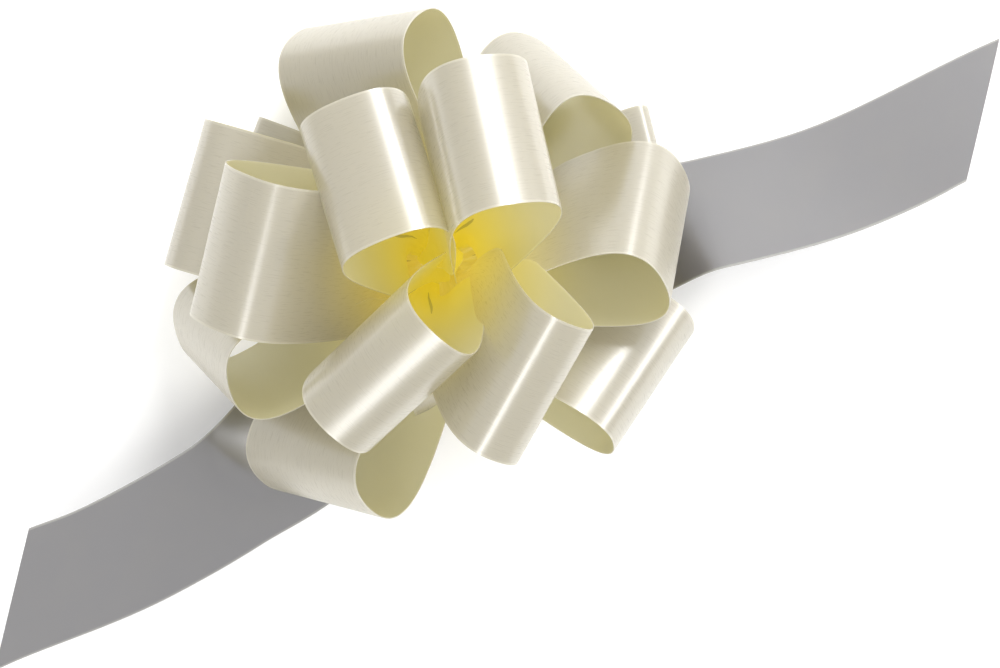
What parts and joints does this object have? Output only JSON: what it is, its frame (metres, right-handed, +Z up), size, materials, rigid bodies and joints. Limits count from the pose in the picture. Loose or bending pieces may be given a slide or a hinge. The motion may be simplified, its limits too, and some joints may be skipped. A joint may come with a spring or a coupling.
{
  "type": "pull bow",
  "caption": "Ready-made gift bow of wide ivory satin ribbon: two plies gathered on narrow pull ribbons into a round head of standing loops, with two slant-cut tails.",
  "frame": {"origin": "on the axis of the gathered waists, at the face the bow rests on", "axes": "+Z up from the present through the gathered waists, +X along the right tail, +Y towards the loops that lie above the tails"},
  "size_m": [0.2602, 0.1081, 0.0764],
  "materials": {
    "satin_ribbon": "pearly satin",
    "weld": "pressed satin",
    "pull_ribbon": "satin"
  },
  "bodies": {
    "base": {"waist_0": "weld", "pull_ribbon_front": "pull_ribbon", "pull_ribbon_back": "pull_ribbon"},
    "tier_1": {"waist_1": "weld"},
    "tier_2": {"waist_2": "weld"},
    "tier_3": {"waist_3": "weld"},
    "tier_4": {"waist_4": "weld"},
    "tier_5": {"waist_5": "weld"},
    "tier_6": {"waist_6": "weld"},
    "tier_7": {"waist_7": "weld"},
    "tier_8": {"waist_8": "weld"},
    "loop_back_left": {"loop_back_left": "satin_ribbon"},
    "loop_back_right": {"loop_back_right": "satin_ribbon"},
    "loop_behind_top": {"loop_behind_top": "satin_ribbon"},
    "loop_bottom": {"loop_bottom": "satin_ribbon"},
    "loop_top": {"loop_top": "satin_ribbon"},
    "loop_under_front": {"loop_under_front": "satin_ribbon"},
    "loop_far_left": {"loop_far_left": "satin_ribbon"},
    "loop_lower_right": {"loop_lower_right": "satin_ribbon"},
    "loop_upper_right": {"loop_upper_right": "satin_ribbon"},
    "loop_lower_left": {"loop_lower_left": "satin_ribbon"},
    "loop_right": {"loop_right": "satin_ribbon"},
    "loop_left": {"loop_left": "satin_ribbon"},
    "loop_front_upper_right": {"loop_front_upper_right": "satin_ribbon"},
    "loop_front_lower_left": {"loop_front_lower_left": "satin_ribbon"},
    "loop_front_upper_left": {"loop_front_upper_left": "satin_ribbon"},
    "loop_front_lower_right": {"loop_front_lower_right": "satin_ribbon"},
    "tail_right": {"tail_right": "satin_ribbon"},
    "tail_left": {"tail_left": "satin_ribbon"}
  },
  "joints": [
    {"name": "loosen_tier_8", "type": "slide", "parent": "base", "child": "tier_8", "axis": [0, 0, 1], "range_m": [0, 0.016], "deforming": ["pull_ribbon_front", "pull_ribbon_back"]},
    {"name": "loosen_tier_7", "type": "slide", "parent": "base", "child": "tier_7", "axis": [0, 0, 1], "range_m": [0, 0.014]},
    {"name": "loosen_tier_6", "type": "slide", "parent": "base", "child": "tier_6", "axis": [0, 0, 1], "range_m": [0, 0.012]},
    {"name": "loosen_tier_5", "type": "slide", "parent": "base", "child": "tier_5", "axis": [0, 0, 1], "range_m": [0, 0.01]},
    {"name": "loosen_tier_4", "type": "slide", "parent": "base", "child": "tier_4", "axis": [0, 0, 1], "range_m": [0, 0.008]},
    {"name": "loosen_tier_3", "type": "slide", "parent": "base", "child": "tier_3", "axis": [0, 0, 1], "range_m": [0, 0.006]},
    {"name": "loosen_tier_2", "type": "slide", "parent": "base", "child": "tier_2", "axis": [0, 0, 1], "range_m": [0, 0.004]},
    {"name": "loosen_tier_1", "type": "slide", "parent": "base", "child": "tier_1", "axis": [0, 0, 1], "range_m": [0, 0.002]},
    {"name": "flex_loop_back_left", "type": "hinge", "parent": "tier_1", "child": "loop_back_left", "pos_m": [-0.00129, 0.00153, 0.0038], "axis": [0.766, 0.6428, 0], "range_deg": [-6, 2], "stiffness_Nm_per_rad": 0.02},
    {"name": "flex_loop_back_right", "type": "hinge", "parent": "tier_1", "child": "loop_back_right", "pos_m": [0.00198, -0.00024, 0.0038], "axis": [-0.1219, -0.9925, 0], "range_deg": [-3, 0], "stiffness_Nm_per_rad": 0.02},
    {"name": "flex_loop_behind_top", "type": "hinge", "parent": "tier_2", "child": "loop_behind_top", "pos_m": [0.00123, 0.00158, 0.007], "axis": [0.788, -0.6157, 0], "range_deg": [-3, 2], "stiffness_Nm_per_rad": 0.02},
    {"name": "flex_loop_bottom", "type": "hinge", "parent": "tier_2", "child": "loop_bottom", "pos_m": [-0.00164, -0.00115, 0.007], "axis": [-0.5736, 0.8192, 0], "range_deg": [-1, 2], "stiffness_Nm_per_rad": 0.02},
    {"name": "flex_loop_top", "type": "hinge", "parent": "tier_3", "child": "loop_top", "pos_m": [0.00024, 0.00198, 0.0102], "axis": [0.9925, -0.1219, 0], "range_deg": [-2, 1], "stiffness_Nm_per_rad": 0.02},
    {"name": "flex_loop_under_front", "type": "hinge", "parent": "tier_3", "child": "loop_under_front", "pos_m": [-0.00024, -0.00198, 0.0102], "axis": [-0.9925, 0.1219, 0], "range_deg": [-2, 1], "stiffness_Nm_per_rad": 0.02},
    {"name": "flex_loop_far_left", "type": "hinge", "parent": "tier_4", "child": "loop_far_left", "pos_m": [-0.00149, 0.00134, 0.0134], "axis": [0.6691, 0.7431, 0], "range_deg": [-2, 1], "stiffness_Nm_per_rad": 0.02},
    {"name": "flex_loop_lower_right", "type": "hinge", "parent": "tier_4", "child": "loop_lower_right", "pos_m": [0.00109, -0.00168, 0.0134], "axis": [-0.8387, -0.5446, 0], "range_deg": [-1, 2], "stiffness_Nm_per_rad": 0.02},
    {"name": "flex_loop_upper_right", "type": "hinge", "parent": "tier_5", "child": "loop_upper_right", "pos_m": [0.00183, 0.00081, 0.0166], "axis": [0.4067, -0.9135, 0], "range_deg": [-6, 2], "stiffness_Nm_per_rad": 0.02},
    {"name": "flex_loop_lower_left", "type": "hinge", "parent": "tier_5", "child": "loop_lower_left", "pos_m": [-0.002, 0.00011, 0.0166], "axis": [0.0523, 0.9986, 0], "range_deg": [-1, 2], "stiffness_Nm_per_rad": 0.02},
    {"name": "flex_loop_right", "type": "hinge", "parent": "tier_6", "child": "loop_right", "pos_m": [0.00188, -0.00068, 0.0198], "axis": [-0.342, -0.9397, 0], "range_deg": [0, 1], "stiffness_Nm_per_rad": 0.02},
    {"name": "flex_loop_left", "type": "hinge", "parent": "tier_6", "child": "loop_left", "pos_m": [-0.00175, 0.00097, 0.0198], "axis": [0.4848, 0.8746, 0], "range_deg": [-2, 2], "stiffness_Nm_per_rad": 0.02},
    {"name": "flex_loop_front_upper_right", "type": "hinge", "parent": "tier_7", "child": "loop_front_upper_right", "pos_m": [0.00158, 0.00123, 0.023], "axis": [0.6157, -0.788, 0], "range_deg": [-4, 1], "stiffness_Nm_per_rad": 0.02},
    {"name": "flex_loop_front_lower_left", "type": "hinge", "parent": "tier_7", "child": "loop_front_lower_left", "pos_m": [-0.00158, -0.00123, 0.023], "axis": [-0.6157, 0.788, 0], "range_deg": [-4, 2], "stiffness_Nm_per_rad": 0.02},
    {"name": "flex_loop_front_upper_left", "type": "hinge", "parent": "tier_8", "child": "loop_front_upper_left", "pos_m": [-0.00038, 0.00196, 0.0262], "axis": [0.9816, 0.1908, 0], "range_deg": [-6, 2], "stiffness_Nm_per_rad": 0.02},
    {"name": "flex_loop_front_lower_right", "type": "hinge", "parent": "tier_8", "child": "loop_front_lower_right", "pos_m": [0.00045, -0.00195, 0.0262], "axis": [-0.9744, -0.225, 0], "range_deg": [-4, 2], "stiffness_Nm_per_rad": 0.02},
    {"name": "swing_tail_right", "type": "hinge", "parent": "base", "child": "tail_right", "pos_m": [0, 0, 0.0002], "axis": [0, 0, 1], "range_deg": [-4, 3], "stiffness_Nm_per_rad": 0.02},
    {"name": "swing_tail_left", "type": "hinge", "parent": "base", "child": "tail_left", "pos_m": [0, 0, 0.0002], "axis": [0, 0, 1], "range_deg": [-8, 1], "stiffness_Nm_per_rad": 0.02}
  ],
  "couplings": [
    {"joint": "loosen_tier_7", "follows": "loosen_tier_8", "ratio": 0.875},
    {"joint": "loosen_tier_6", "follows": "loosen_tier_8", "ratio": 0.75},
    {"joint": "loosen_tier_5", "follows": "loosen_tier_8", "ratio": 0.625},
    {"joint": "loosen_tier_4", "follows": "loosen_tier_8", "ratio": 0.5},
    {"joint": "loosen_tier_3", "follows": "loosen_tier_8", "ratio": 0.375},
    {"joint": "loosen_tier_2", "follows": "loosen_tier_8", "ratio": 0.25},
    {"joint": "loosen_tier_1", "follows": "loosen_tier_8", "ratio": 0.125}
  ]
}
